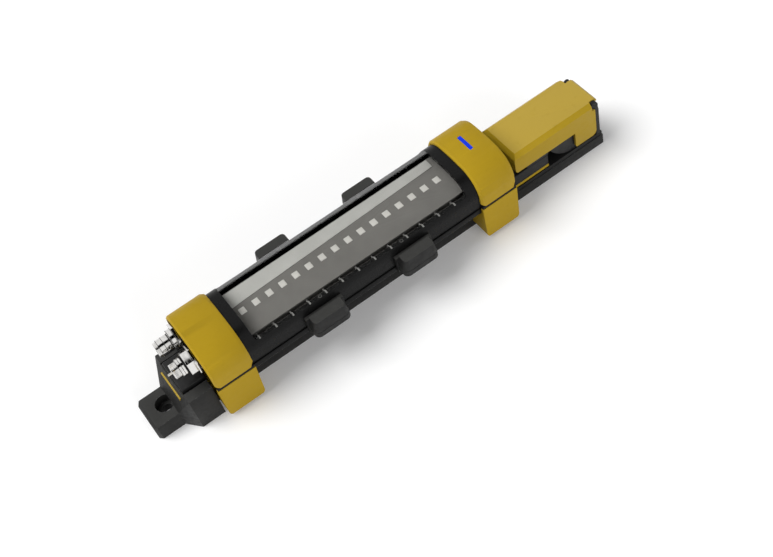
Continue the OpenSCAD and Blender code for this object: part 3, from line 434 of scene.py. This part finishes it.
def smooth(obj):
    for poly in obj.data.polygons:
        poly.use_smooth = True
    obj.modifiers.new("smooth", "NODES").node_group = smooth_group


def round_edges(obj, width):
    """Rounds the edges by modifiers, after the flat faces have lost the lines across them."""
    flat = obj.modifiers.new("flat", "DECIMATE")
    flat.decimate_type = "DISSOLVE"
    flat.angle_limit = FLAT_UNDER
    bevel = obj.modifiers.new("bevel", "BEVEL")
    bevel.width = width
    bevel.segments = 3
    bevel.limit_method = "ANGLE"
    bevel.angle_limit = ROUNDED_FROM


def finish_nodes():
    """Each CAD node keeps its place and size, and gets its look and finer edges."""
    slot_of = {p["node"]: p["material_slot"] for p in frame["record"]["subparts"]}
    width_of = {name: width * MM for width, names in ROUNDING.items() for name in names}
    for name, obj in nodes.items():
        obj.data.materials.clear()
        obj.data.materials.append(looks[slot_of[name]])
        weld = obj.modifiers.new("weld", "WELD")
        weld.merge_threshold = 0.01 * MM
        if width_of[name]:
            round_edges(obj, width_of[name])
        smooth(obj)
    # the pin's ends are blackened like the plate that holds it
    nodes["hinge_pin"].data.materials[0] = looks["black_plate"]


finish_nodes()


# Finer pieces
def new_piece(name, mesh, look):
    """A piece from a bmesh, with its look and smooth shading."""
    data = bpy.data.meshes.new(name)
    bmesh.ops.recalc_face_normals(mesh, faces=mesh.faces)
    mesh.to_mesh(data)
    mesh.free()
    obj = bpy.data.objects.new(name, data)
    scene.collection.objects.link(obj)
    data.materials.append(looks[look])
    smooth(obj)
    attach(obj, "bracket")
    return obj


def add_turned(mesh, centre, profile, sides=64):
    """A closed ring turned about a line along X. The profile is a list of (x, radius)."""
    rings = []
    for k in range(sides):
        a = 2 * math.pi * k / sides
        y, z = math.cos(a), math.sin(a)
        rings.append([mesh.verts.new((x, centre[0] + r * y, centre[1] + r * z)) for x, r in profile])
    for k in range(sides):
        one = rings[k]
        two = rings[(k + 1) % sides]
        for i in range(len(profile)):
            j = (i + 1) % len(profile)
            mesh.faces.new((one[i], one[j], two[j], two[i]))


def arched(half, top, shoulder, crown, low, grow, steps=28):
    """Right half of an arched profile, from its lower edge up to the middle: a list of (y, z)."""
    crown_z = top - crown
    edge_y = half - shoulder
    edge_z = crown_z + math.sqrt((crown - shoulder) ** 2 - edge_y ** 2)
    split = math.asin(edge_y / (crown - shoulder))
    last = math.acos((low - edge_z) / (shoulder + grow))
    curve = []
    for i in range(steps + 1):
        a = last + (split - last) * i / steps
        curve.append((edge_y + (shoulder + grow) * math.sin(a), edge_z + (shoulder + grow) * math.cos(a)))
    for i in range(1, steps + 1):
        a = split * (1 - i / steps)
        curve.append(((crown + grow) * math.sin(a), crown_z + (crown + grow) * math.cos(a)))
    return curve


def make_pane():
    """The window pane as an even sheet along its arched profile, with round corners."""
    half = 31.6 * MM
    shoulder = 18.5 * MM
    crown = 140 * MM
    corner = 4 * MM
    thick = 2.4 * MM
    low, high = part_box("window")
    mesh = bmesh.new()
    sides = []
    for grow in (0, -thick):
        right = arched(half, high.z, shoulder, crown, low.z, grow)
        left = [(-y, z) for y, z in right]
        rows = []
        for y, z in left + right[-2::-1]:
            rise = min(corner, max(0, z - low.z))
            inset = corner - math.sqrt(corner ** 2 - (corner - rise) ** 2)
            rows.append([mesh.verts.new((x, y, z)) for x in (low.x + inset, high.x - inset)])
        sides.append(rows)
    outer, inner = sides
    for i in range(len(outer) - 1):
        mesh.faces.new((outer[i][0], outer[i][1], outer[i + 1][1], outer[i + 1][0]))
        mesh.faces.new((inner[i][0], inner[i + 1][0], inner[i + 1][1], inner[i][1]))
        for k in (0, 1):
            mesh.faces.new((outer[i][k], outer[i + 1][k], inner[i + 1][k], inner[i][k]))
    for i in (0, -1):
        mesh.faces.new((outer[i][0], inner[i][0], inner[i][1], outer[i][1]))
    pane = new_piece("pane", mesh, "pane")
    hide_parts("window")


def make_rib_feet():
    """Each rib of the near skirt goes on up to the ledge of the window, in the gap under the pane's edge."""
    count = 13
    width = 1.2 * MM
    thick = 0.1 * MM
    root = 1.0 * MM
    under_pane = 0.03 * MM
    ledge_from, ledge_to = 0.4 * MM, 3.3 * MM
    ribs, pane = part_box("deck_ribs"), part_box("window")
    top = pane[0].z - under_pane
    outer, inner = pane[0].y + ledge_from, pane[0].y + ledge_to
    outline = [(outer, top - thick), (outer, top), (inner, top), (ribs[0].y, ribs[1].z),
               (ribs[0].y, ribs[1].z - root), (inner, top - thick)]
    pitch = (ribs[1].x - ribs[0].x - width) / (count - 1)
    mesh = bmesh.new()
    for k in range(count):
        x = ribs[0].x + k * pitch
        start, end = [[mesh.verts.new((x + dx, y, z)) for y, z in outline] for dx in (0, width)]
        mesh.faces.new(start)
        mesh.faces.new(end)
        for i in range(len(outline)):
            j = (i + 1) % len(outline)
            mesh.faces.new((start[i], start[j], end[j], end[i]))
    new_piece("rib_feet", mesh, "clip_white")


def make_sight_rings():
    """A grey rim round a sight hole on the ledge, at two places on each side. The hole is a flat black disc:
    painted shade for its dark inside.
    """
    apart = 73.2 * MM
    off_middle = 1.6 * MM
    from_edge = 1.6 * MM
    under_pane = 0.13 * MM
    rim_radius, rim_thick = 1.5 * MM, 0.06 * MM
    hole_radius, hole_thick = 0.95 * MM, 0.1 * MM
    low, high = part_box("window")
    middle = (low.x + high.x) / 2 - off_middle
    rims, hole_shades = bmesh.new(), bmesh.new()
    for y in (from_edge - high.y, high.y - from_edge):
        for x in (middle - apart / 2, middle + apart / 2):
            for mesh, radius, thick in ((rims, rim_radius, rim_thick), (hole_shades, hole_radius, hole_thick)):
                spot = Matrix.Translation((x, y, low.z - under_pane + thick / 2))
                bmesh.ops.create_cone(mesh, cap_ends=True, segments=32, radius1=radius, radius2=radius,
                                      depth=thick, matrix=spot)
    new_piece("sight_rims", rims, "sight_grey")
    # Flat black discs on the ledge: painted shade where the holes would be dark.
    new_piece("sight_hole_shades", hole_shades, "black_housing")


# The connectors in mm: the length of the threaded tip, the radius of the barrel behind it, the gap
# behind the barrel, and each dark ring's place, a painted groove shadow, with the radius of the barrel or
# nut that it lies on.
# Places are counted from the end of the tip.
CONNECTORS = {
    "connector_left": {"thread": 2.4, "barrel": 6.8, "gap": (11.1, 12.4),
                       "groove_shades": ((2.5, 6.8), (6.7, 6.8), (12.5, 8.7), (16.0, 8.7))},
    "connector_right": {"thread": 5.0, "barrel": 7.2, "gap": (9.3, 10.8), "groove_shades": ((5.1, 7.2), (7.3, 7.2))},
}


def add_seal(mesh, centre, gap, barrel):
    """A rubber ring that nearly fills the gap, about as high as the barrel beside it."""
    clearance = 0.05 * MM
    sunk = 0.55 * MM
    flatness = 0.8
    sides = 12
    middle = (gap[0] + gap[1]) / 2
    half = (gap[1] - gap[0]) / 2 - clearance
    radius = barrel - sunk
    turns = [2 * math.pi * i / sides for i in range(sides)]
    profile = [(middle + half * math.cos(a), radius + half * flatness * math.sin(a)) for a in turns]
    add_turned(mesh, centre, profile)


def add_groove_shade(mesh, centre, x, radius):
    """A thin dark ring let into a barrel or a nut: a painted shadow line where a groove would be."""
    width, depth, proud = 0.35 * MM, 0.2 * MM, 0.03 * MM
    inner, outer = radius - depth, radius + proud
    add_turned(mesh, centre, [(x, inner), (x, outer), (x + width, outer), (x + width, inner)])


def add_thread(mesh, centre, start, length):
    """The crests of a fine thread, as rings with a sharp outer edge."""
    pitch, depth = 0.8 * MM, 0.22 * MM
    lead_in = 0.5 * MM
    root, sunk = 5.97 * MM, 0.1 * MM
    half = 0.42 * pitch
    for k in range(int((length - lead_in) / pitch)):
        x = start + lead_in + (k + 0.5) * pitch
        add_turned(mesh, centre, [(x - half, root), (x, root + depth), (x + half, root), (x, root - sunk)])


def make_connector_details():
    """Seal rings behind the barrels, dark rings on barrels and nut as painted groove shadows, and fine
    threads on the tips.
    """
    seals_and_groove_shades, threads = bmesh.new(), bmesh.new()
    for node, sizes in CONNECTORS.items():
        low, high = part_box(node)
        centre = ((low.y + high.y) / 2, (low.z + high.z) / 2)
        gap = [low.x + place * MM for place in sizes["gap"]]
        add_seal(seals_and_groove_shades, centre, gap, sizes["barrel"] * MM)
        for place, radius in sizes["groove_shades"]:
            # Thin dark rings: painted shadow lines of grooves.
            add_groove_shade(seals_and_groove_shades, centre, low.x + place * MM, radius * MM)
        add_thread(threads, centre, low.x, sizes["thread"] * MM)
    new_piece("connector_seals_and_groove_shades", seals_and_groove_shades, "seal_rubber")
    new_piece("connector_threads", threads, "nickel")


make_pane()
make_rib_feet()
make_sight_rings()
make_connector_details()


# Floor and lights
def make_floor():
    """A pale plain floor just under the part. It looks a little brighter than the lamps make it."""
    middle_x = 0.19
    half_size = 4.0
    gap = 0.2 * MM
    glow_level = 0.14
    mesh = bpy.data.meshes.new("floor")
    grid = bmesh.new()
    bmesh.ops.create_grid(grid, x_segments=8, y_segments=8, size=half_size)
    grid.to_mesh(mesh)
    grid.free()
    floor = bpy.data.objects.new("floor", mesh)
    scene.collection.objects.link(floor)
    floor.location = (middle_x, 0, cad_box[0].z - gap)
    s = Shader("floor")
    s.set("Base Color", s.mix(s.patches(s.noise(3, 3), 0.3, 0.7), grey(0.88), grey(0.9)))
    s.set("Roughness", 0.8)
    s.set("Specular IOR Level", 0.1)
    path = s.node("LightPath").outputs
    seen = s.math("MAXIMUM", path["Is Camera Ray"], path["Is Glossy Ray"])
    seen = s.math("MAXIMUM", seen, path["Is Transmission Ray"])
    glow = s.node("Emission", Color=grey(1), Strength=s.math("MULTIPLY", seen, glow_level))
    both = s.node("AddShader")
    s.put(both.inputs[0], s.bsdf.outputs[0])
    s.put(both.inputs[1], glow.outputs[0])
    s.show(both.outputs[0])
    mesh.materials.append(s.mat)


def sun(name, towards, level, softness):
    """A soft lamp far away, so that the floor is lit evenly. A level of 1 shows a white face as white."""
    data = bpy.data.lights.new(name, "SUN")
    data.energy = math.pi * level
    data.angle = math.radians(softness)
    obj = bpy.data.objects.new(name, data)
    scene.collection.objects.link(obj)
    obj.rotation_mode = "QUATERNION"
    obj.rotation_quaternion = Vector(towards).to_track_quat("Z", "Y")
    obj.visible_glossy = False


def make_world(level):
    """White to the camera, an even light on the part, and a dark strip overhead for its mirrors."""
    # where the strip begins and ends, in degrees about X, with 90 straight up
    strip_from, strip_to = (82, 88), (118, 123)
    world = bpy.data.worlds.new("world")
    scene.world = world
    world.use_nodes = True
    s = Nodes(world.node_tree)
    split = s.node("SeparateXYZ", Vector=s.node("TexCoord").outputs["Generated"]).outputs
    degrees = s.math("MULTIPLY", s.math("ARCTAN2", split["Z"], split["Y"]), 180 / math.pi)
    strip = s.math("MULTIPLY", s.span(degrees, *strip_from, 0, 1), s.span(degrees, *strip_to, 1, 0))
    mirrored = s.math("SUBTRACT", 1.0, strip)
    path = s.node("LightPath").outputs
    mirrors = s.math("MAXIMUM", path["Is Glossy Ray"], path["Is Transmission Ray"])
    seen = s.math("ADD", path["Is Camera Ray"], s.math("MULTIPLY", mirrors, mirrored))
    plain = s.math("MULTIPLY", path["Is Diffuse Ray"], level)
    background = s.tree.nodes["Background"]
    s.put(background.inputs["Strength"], s.math("ADD", seen, plain))
    s.put(background.inputs["Color"], grey(1))


make_floor()
sun("key", towards=(-0.8, 0.4, 1.25), level=0.88, softness=46)
sun("fill", towards=(0.15, -1.0, 0.3), level=0.38, softness=40)
make_world(level=0.24)
scene.view_settings.view_transform = "Standard"
